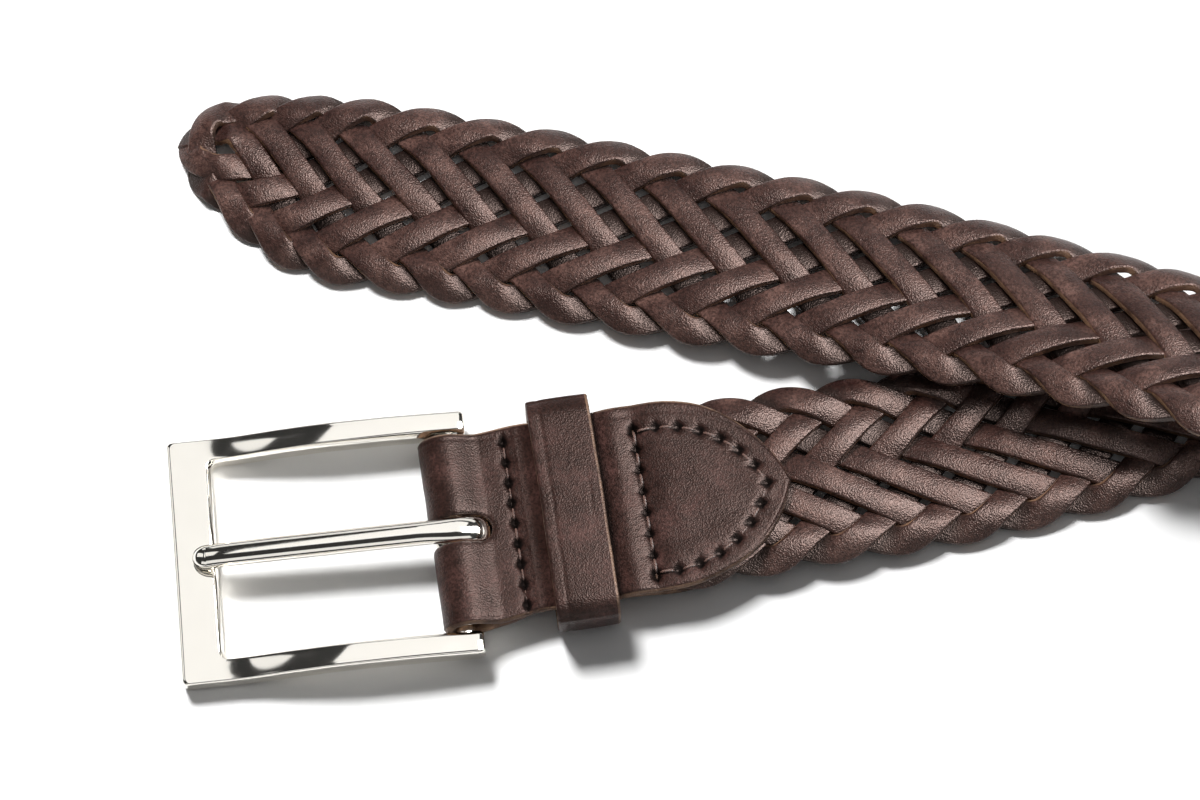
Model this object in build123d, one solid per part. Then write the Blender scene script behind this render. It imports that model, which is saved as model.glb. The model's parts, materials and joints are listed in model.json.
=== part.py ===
from build123d import *
import bisect
import math
import os

# A gentleman's braided leather dress belt with a prong buckle, laid down in one open loop.
#
# Millimetres, +Z up. The strap runs from the buckle bar towards +X, round the loop, and back over
# itself to its woven tip. Along the strap a place is (s, u, w): s is the distance from the buckle bar,
# u is across the width, positive to the left of travel, and w is through the thickness, positive on
# the grain side.

# ---- Driving dimensions, mm and degrees ----
STRAP_LENGTH = 1050.0  # buckle bar to tip
STRAP_WIDTH = 35.0
LEATHER = 2.0  # chape and keeper leather
BAR_HEIGHT = 4.8  # the bar's axis above the table

# Lay of the strap: heading of its centreline, tilt of its face and lowest edge, each against s
HEADING = [(0, 8.8), (66, 8.8), (82, 10.8), (100, 13.5), (120, 16), (140, 18.5), (185, 26), (245, 36),
           (300, 27), (360, -5), (445, -60), (545, -120), (650, -180), (705, -214), (765, -217),
           (820, -209), (856, -201.5), (885, -197.5), (915, -193.7), (945, -191.6), (1050, -191.5)]
TILT = [(0, 0), (100, 0), (165, 0), (215, 30), (265, 70), (310, 90), (400, 90), (600, 90), (690, 90),
        (735, 78), (785, 50), (830, 31), (860, 24), (890, 18), (920, 10), (955, 3), (990, 0), (1050, 0)]
CLEARANCE = [(0, 2.5), (50, 2.5), (66, 2.3), (84, 0.6), (100, 0), (300, 0), (700, 0), (770, 1.5),
             (805, 5), (830, 6.2), (850, 6.2), (866, 5.4), (886, 2.2), (908, 0.3), (930, 0), (1050, 0)]
LAY_STEP = 1.0

# Braid: eight laces, over three on one half, over two on the other, over one at each edge
LACES = 8
LACE_WIDTH = 5.0
LACE_THICK = 2.1
LACE_RISE = 1.1  # a lace's middle above or below the strap's mid plane at a crossing
EDGE_PITCH = 11.8  # from one edge loop to the next
BRAID_PERIOD = LACES * EDGE_PITCH
TURN_U = 15.6  # where a lace's middle turns back
BRAID_PHASE = 6.4
BRAID_START = 37.0
STATIONS = 20  # sections of each lace per period
CROSSINGS = [0, 1, -1, -1, -1, 1, 1, -1, 0, 1, -1, -1, 1, 1, 1, -1]
TIP_TAPER = 30.0  # the length over which the tip narrows
TIP_TUCKS = [1.5, 7.0, 4.0, 11.0, 2.5, 8.5, 5.5, 12.0]  # how far short of the tip each lace ends

# Chape: one leather strip folded round the bar, stitched twice, with an arched end on the braid
TUNNEL_R = 2.75
FOLD_END = 9.0
POCKET_START = 29.0
POCKET_FULL = 34.0
ARCH_START = 37.0
ARCH_TIP = 61.0
POCKET_IN, POCKET_OUT = 1.6, 2.4  # half heights of the pocket for the lace ends, inner end and mouth
PRONG_SLOT_END = 5.8
PRONG_SLOT_WIDTH = 5.6

# Stitching
FOLD_SEAM_S = 10.5
FOLD_SEAM_HALF = 15.2
PATCH_SEAM_INSET = 3.4
PATCH_SEAM_S = 35.2
PATCH_SEAM_HALF = 14.2
STITCH_PITCH = 3.75
THREAD = 0.8

# Keeper
KEEPER_S = 21.0
KEEPER_WIDTH = 11.2
KEEPER_HALF = 20.8
KEEPER_SHIFT_U = -0.6
KEEPER_LOW, KEEPER_HIGH = -4.3, 8.0
KEEPER_WALL = 1.8

# Buckle, in its own frame: x' along it with the bar at 0, z' from the bar's axis
BUCKLE_HEADING = 5.8
FRAME_FRONT = -50.6
FRAME_BACK = 3.1
FRAME_HALF = 22.5
WINDOW_HALF = 18.2
WINDOW_FRONT = -43.0
BAR_R = 1.75
BAR_HALF = 20.6
PRONG_R = 2.0
PRONG_TIP = -46.2
PRONG_RING_R = 4.6
PRONG_CLEARANCE = 0.05
SCOOP_R = 4.2


# ---- The lay of the strap ----
def through(knots, s):
    """A smooth curve through the knots that never overshoots them: on each span a cubic whose end
    slopes are the harmonic means of the chords beside them, or level where those chords disagree."""
    xs = [x for x, _ in knots]
    i = min(max(bisect.bisect_right(xs, s) - 1, 0), len(knots) - 2)

    def chord(j):
        (x0, y0), (x1, y1) = knots[j], knots[j + 1]
        return (y1 - y0) / (x1 - x0)

    def slope(j):
        if j == 0 or j == len(knots) - 1:
            return chord(min(j, len(knots) - 2))
        before, after = chord(j - 1), chord(j)
        return 2 * before * after / (before + after) if before * after > 0 else 0.0

    (x0, y0), (x1, y1) = knots[i], knots[i + 1]
    h = x1 - x0
    t = (s - x0) / h
    blend = t * t * (3 - 2 * t)
    return (y0 * (1 - blend) + y1 * blend
            + t * (1 - t) ** 2 * h * slope(i) - t * t * (1 - t) * h * slope(i + 1))


def lay_centreline():
    """Adds up the heading along the strap, and gives the plan point at every LAY_STEP."""
    points = [(0.0, 0.0)]
    for n in range(int(STRAP_LENGTH / LAY_STEP)):
        heading = math.radians(through(HEADING, (n + 0.5) * LAY_STEP))
        x, y = points[-1]
        points.append((x + LAY_STEP * math.cos(heading), y + LAY_STEP * math.sin(heading)))
    return points


CENTRELINE = lay_centreline()
BRAID_HALF_THICK = LACE_RISE + LACE_THICK / 2
OUTER_HALF = TURN_U + LACE_WIDTH / 2


def strap_point(s, u, w):
    """The point (s, u, w) of the strap as it lies on the table."""
    n = min(int(s / LAY_STEP), len(CENTRELINE) - 2)
    part = s / LAY_STEP - n
    (ax, ay), (bx, by) = CENTRELINE[n], CENTRELINE[n + 1]
    heading = math.radians(through(HEADING, s))
    tilt = math.radians(through(TILT, s))
    height = through(CLEARANCE, s) + OUTER_HALF * math.sin(tilt) + BRAID_HALF_THICK * math.cos(tilt)
    left = (-math.sin(heading), math.cos(heading))
    across = u * math.cos(tilt) - w * math.sin(tilt)
    return Vector(ax + part * (bx - ax) + left[0] * across,
                  ay + part * (by - ay) + left[1] * across,
                  height + u * math.sin(tilt) + w * math.cos(tilt))


# ---- Braid ----
def lace_middle(k, s):
    """Where lace k's middle is at s: it zigzags between the edges and weaves over and under."""
    phase = ((s - BRAID_PHASE - k * EDGE_PITCH) / BRAID_PERIOD) % 1.0
    sharp = 0.985
    zigzag = math.asin(-sharp * math.cos(2 * math.pi * phase)) / math.asin(sharp)
    left = STRAP_LENGTH - s
    narrow = math.sin(math.pi / 2 * min(1.0, (left + 5) / (TIP_TAPER + 5)))
    place = phase * len(CROSSINGS)
    before = int(place)
    ease = 0.5 - 0.5 * math.cos(math.pi * (place - before))
    low, high = CROSSINGS[before], CROSSINGS[(before + 1) % len(CROSSINGS)]
    return TURN_U * narrow * zigzag, LACE_RISE * (low + (high - low) * ease)


def skived(s):
    """The laces are pared thinner where the chape holds them."""
    return 0.68 + 0.32 * min(1.0, max(0.0, (s - 40.0) / 26.0))


def lace_section(k, s):
    """The four corners of lace k's section at s."""
    u, w = lace_middle(k, s)
    ahead, behind = lace_middle(k, s + 0.5)[0], lace_middle(k, s - 0.5)[0]
    along = Vector(1.0, ahead - behind, 0).normalized()
    thin = skived(s)
    corners = []
    for side, face in ((-1, -1), (1, -1), (1, 1), (-1, 1)):
        ds = -along.Y * side * LACE_WIDTH / 2
        du = along.X * side * LACE_WIDTH / 2
        corners.append(strap_point(s + ds, u + du, thin * (w + face * LACE_THICK / 2)))
    return corners


def lace(k):
    """Lace k as a closed band of flat facets from the chape to the tip."""
    first, last = BRAID_START, STRAP_LENGTH - TIP_TUCKS[k] - LACE_WIDTH / 2
    count = round((last - first) / BRAID_PERIOD * STATIONS)
    sections = [lace_section(k, first + (last - first) * n / count) for n in range(count + 1)]
    facets = []
    for a, b in zip(sections, sections[1:]):
        for i in range(4):
            j = (i + 1) % 4
            facets.append([a[i], a[j], b[j]])
            facets.append([a[i], b[j], b[i]])
    for end in (sections[0], sections[-1]):
        facets.append([end[0], end[1], end[2]])
        facets.append([end[0], end[2], end[3]])
    return Solid(Shell([Face(Wire.make_polygon(f, close=True)) for f in facets]))


# ---- Chape and its stitching, in the strap's straight frame at the bar ----
def on_strap(shape):
    """Moves a shape from the chape's straight frame, with the bar's axis at the origin, to the lay."""
    return shape.rotate(Axis.Z, HEADING[0][1]).translate((0, 0, BAR_HEIGHT))


def chape_layers():
    """The strip's edge view (s, w): round the bar, flat, then parted to take the lace ends."""
    outer_r = TUNNEL_R + LEATHER
    with BuildSketch(Plane.XZ) as edge_view:
        with BuildLine():
            Spline((0, outer_r), (5.0, 3.6), (FOLD_END, LEATHER), tangents=((1, 0), (1, 0)))
            Polyline((FOLD_END, LEATHER), (POCKET_START, LEATHER), (POCKET_FULL, POCKET_IN + LEATHER),
                     (ARCH_TIP + 1, POCKET_OUT + LEATHER - 0.3), (ARCH_TIP + 1, POCKET_OUT),
                     (POCKET_FULL, POCKET_IN), (POCKET_START + 2, 0), (FOLD_END, 0))
            Spline((FOLD_END, 0), (5.0, 1.4), (0, TUNNEL_R), tangents=((-1, 0), (-1, 0)))
            Line((0, TUNNEL_R), (0, outer_r))
        make_face()
        mirror(about=Plane.XY)
        with BuildLine():
            CenterArc((0, 0), outer_r, 90, 180)
            Line((0, -outer_r), (0, -TUNNEL_R))
            CenterArc((0, 0), TUNNEL_R, 90, 180)
            Line((0, TUNNEL_R), (0, outer_r))
        make_face()
    return extrude(edge_view.sketch, STRAP_WIDTH / 2, both=True)


def arch_circle(inset):
    """The arch is two equal arcs, each tangent to a strap edge: the radius, and the centre's u."""
    half = STRAP_WIDTH / 2
    radius = ((ARCH_TIP - ARCH_START) ** 2 + half ** 2) / (2 * half)
    return radius - inset, half - radius


def arch_plan():
    """The plan outline of the chape: straight edges that end in the pointed arch."""
    half = STRAP_WIDTH / 2
    radius, centre_u = arch_circle(0)
    mid = (math.pi / 2 + math.asin(-centre_u / radius)) / 2
    mid_s, mid_u = ARCH_START + radius * math.cos(mid), centre_u + radius * math.sin(mid)
    with BuildSketch() as plan:
        with BuildLine():
            Polyline((ARCH_START, -half), (-10, -half), (-10, half), (ARCH_START, half))
            ThreePointArc((ARCH_START, half), (mid_s, mid_u), (ARCH_TIP, 0))
            ThreePointArc((ARCH_TIP, 0), (mid_s, -mid_u), (ARCH_START, -half))
        make_face()
    return plan.sketch


def chape():
    """The folded leather strip with its arched ends and the slot for the prong."""
    plan = extrude(arch_plan(), 12, both=True)
    slot_r = PRONG_SLOT_WIDTH / 2
    slot = Pos(PRONG_SLOT_END - slot_r - 10, 0, 0) * Box(20, PRONG_SLOT_WIDTH, 20)
    slot += Pos(PRONG_SLOT_END - slot_r, 0, 0) * Cylinder(slot_r, 20)
    return on_strap((chape_layers() & plan) - slot)


def chape_surface(s):
    """Half the chape's thickness at s."""
    if s < POCKET_START:
        return LEATHER
    if s < POCKET_FULL:
        return LEATHER + POCKET_IN * (s - POCKET_START) / (POCKET_FULL - POCKET_START)
    rise = POCKET_OUT - 0.3 - POCKET_IN
    return LEATHER + POCKET_IN + rise * (s - POCKET_FULL) / (ARCH_TIP + 1 - POCKET_FULL)


def stitch(s, u, direction, face):
    """One stitch of thread lying on the front or back of the chape."""
    height = face * (chape_surface(s) + THREAD / 4)
    bar = Box(STITCH_PITCH * 0.72, THREAD, THREAD * 0.7)
    return Pos(s, u, height) * Rot(0, 0, direction) * bar


def fold_seam():
    """The row that closes the fold round the bar, front and back."""
    count = round(2 * FOLD_SEAM_HALF / STITCH_PITCH)
    places = [-FOLD_SEAM_HALF + (n + 0.5) * 2 * FOLD_SEAM_HALF / count for n in range(count)]
    return on_strap(Compound([stitch(FOLD_SEAM_S, u, 90, face) for u in places for face in (1, -1)]))


def patch_seam():
    """The row across the strap and round inside the arch, front and back."""
    inner, centre_u = arch_circle(PATCH_SEAM_INSET)
    top = math.acos((PATCH_SEAM_S - ARCH_START) / inner)
    tip = math.asin(-centre_u / inner)
    places = []
    across = round(2 * PATCH_SEAM_HALF / STITCH_PITCH)
    for n in range(across):
        places.append((PATCH_SEAM_S, -PATCH_SEAM_HALF + (n + 0.5) * 2 * PATCH_SEAM_HALF / across, 90))
    count = round((top - tip) * inner / STITCH_PITCH)
    for n in range(count):
        a = tip + (top - tip) * (n + 0.5) / count
        s, u = ARCH_START + inner * math.cos(a), centre_u + inner * math.sin(a)
        places.append((s, u, math.degrees(a) + 90))
        places.append((s, -u, 90 - math.degrees(a)))
    return on_strap(Compound([stitch(s, u, d, face) for s, u, d in places for face in (1, -1)]))


# ---- Keeper ----
def keeper():
    """A closed leather loop round the chape, with room over it for the strap's tip."""
    high, low = KEEPER_HIGH, KEEPER_LOW
    middle = (KEEPER_S, KEEPER_SHIFT_U, (high + low) / 2)
    with BuildPart() as loop:
        Box(KEEPER_WIDTH, 2 * KEEPER_HALF, high - low)
        fillet(loop.edges().filter_by(Axis.X), 3.0)
    with BuildPart() as gap:
        Box(KEEPER_WIDTH + 2, 2 * (KEEPER_HALF - KEEPER_WALL), high - low - 2 * KEEPER_WALL)
        fillet(gap.edges().filter_by(Axis.X), 1.6)
    return on_strap(Pos(*middle) * (loop.part - gap.part))


def keeper_stitches():
    """Two cross stitches that join the keeper's ends under the strap."""
    places = [KEEPER_S + offset for offset in (-3.0, 3.0)]
    bars = [Pos(s, KEEPER_SHIFT_U, KEEPER_LOW) * Box(THREAD, 4.0, THREAD / 2) for s in places]
    return on_strap(Compound(bars))


# ---- Buckle ----
def on_buckle(shape):
    """Moves a shape from the buckle's frame, with the bar's axis at the origin, to the lay."""
    return shape.rotate(Axis.Z, BUCKLE_HEADING).translate((0, 0, BAR_HEIGHT))


def buckle_frame():
    """A front bar and two arched rails in one casting, with blind holes for the bar."""
    low = -BAR_HEIGHT
    with BuildSketch(Plane.XZ) as side_view:
        with BuildLine():
            Line((FRAME_FRONT, low), (WINDOW_FRONT + 1.0, low))
            Spline((WINDOW_FRONT + 1.0, low), (-22, -1.5), (FRAME_BACK, -2.6), tangents=((1, 0), (1, -0.1)))
            Line((FRAME_BACK, -2.6), (FRAME_BACK, 2.6))
            Spline((FRAME_BACK, 2.6), (-22, 3.3), (FRAME_FRONT, -0.7), tangents=((-1, 0.05), (-1, -0.2)))
            Line((FRAME_FRONT, -0.7), (FRAME_FRONT, low))
        make_face()
    casting = extrude(side_view.sketch, FRAME_HALF, both=True)
    length = FRAME_BACK - FRAME_FRONT
    with BuildPart() as outline:
        with Locations(((FRAME_BACK + FRAME_FRONT) / 2, 0, 0)):
            Box(length, 2 * FRAME_HALF, 30)
        fillet(outline.edges().filter_by(Axis.Z), 1.8)
    with BuildPart() as window:
        with Locations(((WINDOW_FRONT + 20) / 2, 0, 0)):
            Box(20 - WINDOW_FRONT, 2 * WINDOW_HALF, 30)
        fillet(window.edges().filter_by(Axis.Z).group_by(Axis.X)[0], 2.5)
    frame = (casting & outline.part) - window.part
    scoop = Pos((WINDOW_FRONT + FRAME_FRONT) / 2 + 3, 0, SCOOP_R - 1.6) * Rot(0, 90, 0) * Cylinder(SCOOP_R, 12)
    frame -= scoop
    frame -= Rot(90, 0, 0) * Cylinder(BAR_R, 2 * BAR_HALF)
    return on_buckle(frame)


def buckle_bar():
    """The round bar that the chape and the prong hang on, pressed into the rails."""
    return on_buckle(Rot(90, 0, 0) * Cylinder(BAR_R, 2 * BAR_HALF))


def prong():
    """A round rod with its root bent round the bar and its tip bent down on the front bar."""
    rod_z = PRONG_RING_R - PRONG_R
    with BuildLine(Plane.XZ) as route:
        FilletPolyline((0, rod_z), (PRONG_TIP + 6, 1.55), (PRONG_TIP, 0.65), radius=14)
    section = Plane(route.line @ 0, z_dir=route.line % 0) * Circle(PRONG_R)
    rod = sweep(section, path=route.line)
    rod += Pos(*(route.line @ 1)) * Sphere(PRONG_R)
    ring = Rot(90, 0, 0) * Cylinder(PRONG_RING_R, 4.4)
    ring = fillet(ring.edges(), 1.2)
    bore = Rot(90, 0, 0) * Cylinder(BAR_R + PRONG_CLEARANCE, 10)
    return on_buckle(rod + ring - bore)


# ---- Write every node, with the origin under the middle of the whole belt ----
def belt():
    """Every node by name."""
    nodes = {
        "buckle_frame": buckle_frame(),
        "buckle_bar": buckle_bar(),
        "prong": prong(),
        "chape": chape(),
        "fold_stitches": fold_seam(),
        "patch_stitches": patch_seam(),
        "keeper": keeper(),
        "keeper_stitches": keeper_stitches(),
    }
    for k in range(LACES):
        nodes[f"lace_{k + 1}"] = lace(k)
    return nodes


def write_nodes():
    nodes = belt()
    whole = Compound(list(nodes.values())).bounding_box()
    origin = (-whole.center().X, -whole.center().Y, -whole.min.Z)
    print("bar axis at", [round(v, 4) for v in (origin[0], origin[1], origin[2] + BAR_HEIGHT)])
    print("size", whole.size)
    os.makedirs("parts", exist_ok=True)
    for name, shape in nodes.items():
        export_step(shape.translate(origin), f"parts/{name}.step")


write_nodes()
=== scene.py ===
import json
import math

import bmesh
import bpy
import numpy as np
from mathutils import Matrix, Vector


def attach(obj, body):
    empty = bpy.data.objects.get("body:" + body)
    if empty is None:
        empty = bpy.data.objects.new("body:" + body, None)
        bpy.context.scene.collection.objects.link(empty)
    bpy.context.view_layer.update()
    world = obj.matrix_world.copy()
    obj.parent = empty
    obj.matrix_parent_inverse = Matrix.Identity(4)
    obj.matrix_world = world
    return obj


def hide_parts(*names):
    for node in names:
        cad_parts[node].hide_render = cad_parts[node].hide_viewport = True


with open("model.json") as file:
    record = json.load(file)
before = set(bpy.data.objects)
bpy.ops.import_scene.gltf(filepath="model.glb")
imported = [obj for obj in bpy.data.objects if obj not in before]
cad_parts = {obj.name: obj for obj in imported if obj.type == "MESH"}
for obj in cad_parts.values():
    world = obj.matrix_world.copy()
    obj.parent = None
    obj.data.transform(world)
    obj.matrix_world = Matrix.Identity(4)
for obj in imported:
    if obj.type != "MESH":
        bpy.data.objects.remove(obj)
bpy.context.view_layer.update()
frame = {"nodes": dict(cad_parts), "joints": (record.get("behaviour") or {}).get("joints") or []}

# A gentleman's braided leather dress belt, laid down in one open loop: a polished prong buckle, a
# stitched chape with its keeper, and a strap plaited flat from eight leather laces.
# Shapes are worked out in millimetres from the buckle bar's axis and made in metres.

MM = 0.001
JOINTS = {joint["name"]: joint for joint in frame["joints"]}
BAR = np.array(JOINTS["buckle_hinge"]["pos_m"]) / MM
BUCKLE_ACROSS = np.array(JOINTS["buckle_hinge"]["axis"])
STRAP_ALONG = np.array(JOINTS["keeper_slide"]["axis"])

# ---- Sizes, mm ----
STRAP_LENGTH = 1050.0
STRAP_WIDTH = 35.0
LEATHER = 2.0
HEADING = [(0, 8.8), (66, 8.8), (82, 10.8), (100, 13.5), (120, 16), (140, 18.5), (185, 26), (245, 36),
           (300, 27), (360, -5), (445, -60), (545, -120), (650, -180), (705, -214), (765, -217),
           (820, -209), (856, -201.5), (885, -197.5), (915, -193.7), (945, -191.6), (1050, -191.5)]
TILT = [(0, 0), (100, 0), (165, 0), (215, 30), (265, 70), (310, 90), (400, 90), (600, 90), (690, 90),
        (735, 78), (785, 50), (830, 31), (860, 24), (890, 18), (920, 10), (955, 3), (990, 0), (1050, 0)]
CLEARANCE = [(0, 2.5), (50, 2.5), (66, 2.3), (84, 0.6), (100, 0), (300, 0), (700, 0), (770, 1.5),
             (805, 5), (830, 6.2), (850, 6.2), (866, 5.4), (886, 2.2), (908, 0.3), (930, 0), (1050, 0)]

LACES = 8
LACE_WIDTH = 5.25
LACE_THICK = 1.7
LACE_CROWN = 0.32
LACE_RISE = 1.02
EDGE_PITCH = 11.8
BRAID_PERIOD = LACES * EDGE_PITCH
TURN_U = 16.1
BRAID_PHASE = 6.4
BRAID_START = 37.0
OUTER_HALF = 18.5
BRAID_HALF_THICK = 2.2
# Over (+) and under (-) at the sixteen places of a lace's zigzag, the two edges being level
WEAVE = np.array([0, 1, -0.9, -1.2, -0.9, 1.05, 1.05, -1, 0, 1, -1.05, -1.05, 0.88, 1.28, 0.88, -1])
EDGE_ROLL = math.radians(34)

ARCH_START = 37.0
ARCH_TIP = 60.2
TUNNEL_R = 2.75
FOLD_END = 6.4
POCKET_START = 29.0
POCKET_FULL = 34.0
FRONT_RISE = 4.6
POCKET_IN, POCKET_OUT = 1.6, 2.4
SLOT_END = 6.4
SLOT_HALF = 2.5
STITCH_PITCH = 3.75
FOLD_SEAM_S = 10.5
FOLD_SEAM_HALF = 15.2
PATCH_SEAM_S = 33.9
PATCH_SEAM_HALF = 13.9
PATCH_SEAM_INSET = 4.1

KEEPER_S = 21.0
KEEPER_WIDTH = 11.2
KEEPER_HALF = 20.8
KEEPER_SHIFT_U = 0.4
KEEPER_LOW, KEEPER_HIGH = -4.3, 8.0
KEEPER_WALL = 1.8
KEEPER_CORNER = 3.2


# ---- Small helpers ----
def smooth(x, low=0.0, high=1.0):
    """0 below low, 1 above high, and 3t^2 - 2t^3 between."""
    t = np.clip((x - low) / (high - low), 0, 1)
    return t * t * (3 - 2 * t)


def bump(x, middle, width):
    """A bell curve, 1 at the middle."""
    return np.exp(-((x - middle) / width) ** 2)


def wander(x, size, length, seed):
    """A slow random wave along x: five sines of random phase, shorter ones smaller."""
    draw = np.random.RandomState(seed)
    total = np.zeros_like(x, dtype=float)
    for order in range(1, 6):
        total += np.sin(2 * math.pi * x * order / (2.3 * length) + draw.uniform(0, 7)) / order
    return size * total / 1.5


def through(knots, s):
    """A smooth curve through the knots that never overshoots: on each span the cubic whose end slopes
    are the harmonic means of the chords beside them, or level where those chords disagree."""
    x, y = np.array(knots, float).T
    chord = np.diff(y) / np.diff(x)
    before, after = chord[:-1], chord[1:]
    agree = before * after > 0
    inner = np.where(agree, 2 * before * after / np.where(agree, before + after, 1), 0)
    slope = np.concatenate([chord[:1], inner, chord[-1:]])
    i = np.clip(np.searchsorted(x, s, side="right") - 1, 0, len(x) - 2)
    h = x[i + 1] - x[i]
    t = (s - x[i]) / h
    blend = t * t * (3 - 2 * t)
    return (y[i] * (1 - blend) + y[i + 1] * blend
            + t * (1 - t) ** 2 * h * slope[i] - t * t * (1 - t) * h * slope[i + 1])


LAY_STEP = 0.25
LAY_S = np.arange(0, STRAP_LENGTH + 20, LAY_STEP)
LAY_HEADING = np.radians(through(HEADING, np.minimum(LAY_S + LAY_STEP / 2, STRAP_LENGTH)))
LAY_X = np.concatenate([[0], np.cumsum(LAY_STEP * np.cos(LAY_HEADING))[:-1]])
LAY_Y = np.concatenate([[0], np.cumsum(LAY_STEP * np.sin(LAY_HEADING))[:-1]])


def strap_points(s, u, w):
    """Strap places (s along, u left, w out of the grain) as points: the centreline adds up its
    heading, and the section leans over by the tilt, with its lowest edge at the clearance."""
    known = np.clip(s, 0, STRAP_LENGTH)
    heading = np.radians(through(HEADING, known))
    tilt = np.radians(through(TILT, known))
    height = through(CLEARANCE, known) + OUTER_HALF * np.sin(tilt) + BRAID_HALF_THICK * np.cos(tilt)
    across = u * np.cos(tilt) - w * np.sin(tilt)
    x = np.interp(s, LAY_S, LAY_X) - np.sin(heading) * across
    y = np.interp(s, LAY_S, LAY_Y) + np.cos(heading) * across
    z = height - BAR[2] + u * np.sin(tilt) + w * np.cos(tilt)
    return BAR + np.stack([x, y, z], -1)


def chape_points(s, u, w):
    """Places on the chape's straight stretch, where w is 0 at the bar's height."""
    left = np.array([-STRAP_ALONG[1], STRAP_ALONG[0], 0])
    up = np.array([0, 0, 1.0])
    return BAR + s[..., None] * STRAP_ALONG + u[..., None] * left + w[..., None] * up


def buckle_points(x, y, z):
    """Places in the buckle's own frame: x back along it from the bar, y across and z up."""
    along = np.array([BUCKLE_ACROSS[1], -BUCKLE_ACROSS[0], 0])
    up = np.array([0, 0, 1.0])
    return BAR + x[..., None] * along + y[..., None] * BUCKLE_ACROSS + z[..., None] * up


def grid_faces(rows, columns, closed_columns=True, start=0):
    """Quads over a grid of vertices, row by row, round each row where it is closed."""
    across = columns if closed_columns else columns - 1
    i, j = np.meshgrid(np.arange(rows - 1), np.arange(across), indexing="ij")
    k = (j + 1) % columns
    row, after = i * columns, (i + 1) * columns
    return start + np.stack([row + j, row + k, after + k, after + j], -1).reshape(-1, 4)


def closed_tube(points):
    """A tube's rows of points with a fan of triangles over each end. Returns the points in one list,
    the two ends' centres last, and the faces."""
    rows, columns = points.shape[:2]
    faces = grid_faces(rows, columns).tolist()
    for first, centre in ((0, rows * columns), ((rows - 1) * columns, rows * columns + 1)):
        faces += [[first + j, first + (j + 1) % columns, centre] for j in range(columns)]
    return np.concatenate([points.reshape(-1, 3), points[[0, -1]].mean(axis=1)]), faces


def tidy_mesh(mesh, merge):
    """Merges doubled vertices where asked and turns every face outwards."""
    work = bmesh.new()
    work.from_mesh(mesh)
    if merge:
        bmesh.ops.remove_doubles(work, verts=work.verts, dist=1e-7)
        bmesh.ops.dissolve_degenerate(work, edges=work.edges, dist=1e-8)
    bmesh.ops.recalc_face_normals(work, faces=work.faces)
    work.to_mesh(mesh)
    work.free()


def add_piece(name, points, faces, body, node, material, uv=None, marks=None, sharp=None,
              merge=False):
    """Makes the mesh piece that stands for a CAD node, from points in mm. uv and marks hold values for
    each vertex, and sharp is the least angle in degrees of an edge that stays crisp."""
    mesh = bpy.data.meshes.new(name)
    mesh.from_pydata((np.asarray(points) * MM).tolist(), [], [list(map(int, f)) for f in faces])
    for key, values in (marks or {}).items():
        layer = mesh.attributes.new(key, "FLOAT", "POINT")
        layer.data.foreach_set("value", np.asarray(values, np.float32).ravel())
    if uv is not None:
        corner = np.empty(len(mesh.loops), np.int32)
        mesh.loops.foreach_get("vertex_index", corner)
        layer = mesh.uv_layers.new(name="UVMap")
        layer.data.foreach_set("uv", np.asarray(uv, np.float32)[corner].ravel())
    piece = bpy.data.objects.new(name, mesh)
    bpy.context.scene.collection.objects.link(piece)
    tidy_mesh(mesh, merge)
    mesh.polygons.foreach_set("use_smooth", np.ones(len(mesh.polygons), bool))
    if sharp is not None:
        mesh.set_sharp_from_angle(angle=math.radians(sharp))
    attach(piece, body)
    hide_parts(node)
    mesh.materials.append(material)


def rounded_section(half_width, half_thick, top_radius, low_radius, crown, count=7):
    """A closed section, anticlockwise from the lower left: flat below, a crowned face above, and
    quarter-round corners. Returns across, height and each point's kind (0 grain, 1 edge, 2 flesh)."""
    across, height, kind = [], [], []
    turn = np.linspace(0, math.pi / 2, 4)
    low = np.linspace(-half_width + low_radius, half_width - low_radius, 5)
    across += list(low)
    height += [-half_thick] * len(low)
    kind += [2.0] * len(low)
    across += list(half_width - low_radius + low_radius * np.sin(turn[1:]))
    height += list(-half_thick + low_radius - low_radius * np.cos(turn[1:]))
    kind += [1.6, 1.0, 1.0]
    across += list(half_width - top_radius + top_radius * np.cos(turn))
    height += list(half_thick - top_radius + top_radius * np.sin(turn))
    kind += [1.0, 0.6, 0.15, 0.0]
    top = np.linspace(half_width - top_radius, -half_width + top_radius, count + 2)[1:-1]
    across += list(top)
    height += list(half_thick + crown * (1 - (top / (half_width - top_radius)) ** 2))
    kind += [0.0] * len(top)
    across += list(-(half_width - top_radius + top_radius * np.cos(turn[::-1])))
    height += list(half_thick - top_radius + top_radius * np.sin(turn[::-1]))
    kind += [0.0, 0.15, 0.6, 1.0]
    across += list(-(half_width - low_radius + low_radius * np.sin(turn[:0:-1])))
    height += list(-half_thick + low_radius - low_radius * np.cos(turn[:0:-1]))
    kind += [1.0, 1.0, 1.6]
    return np.array(across), np.array(height), np.array(kind)


# ---- Materials ----
def linear(code):
    """A hex sRGB colour as linear RGBA."""
    values = [int(code[i:i + 2], 16) / 255 for i in (0, 2, 4)]
    return [v / 12.92 if v <= 0.04045 else ((v + 0.055) / 1.055) ** 2.4 for v in values] + [1.0]


def add_node(tree, kind, settings=None, links=None):
    """Adds a shader node with its settings, input values and the sockets that feed its inputs."""
    node = tree.nodes.new("ShaderNode" + kind)
    for key, value in (settings or {}).items():
        if isinstance(key, str) and hasattr(node, key):
            setattr(node, key, value)
        else:
            node.inputs[key].default_value = value
    for key, socket in (links or {}).items():
        tree.links.new(socket, node.inputs[key])
    return node


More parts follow.
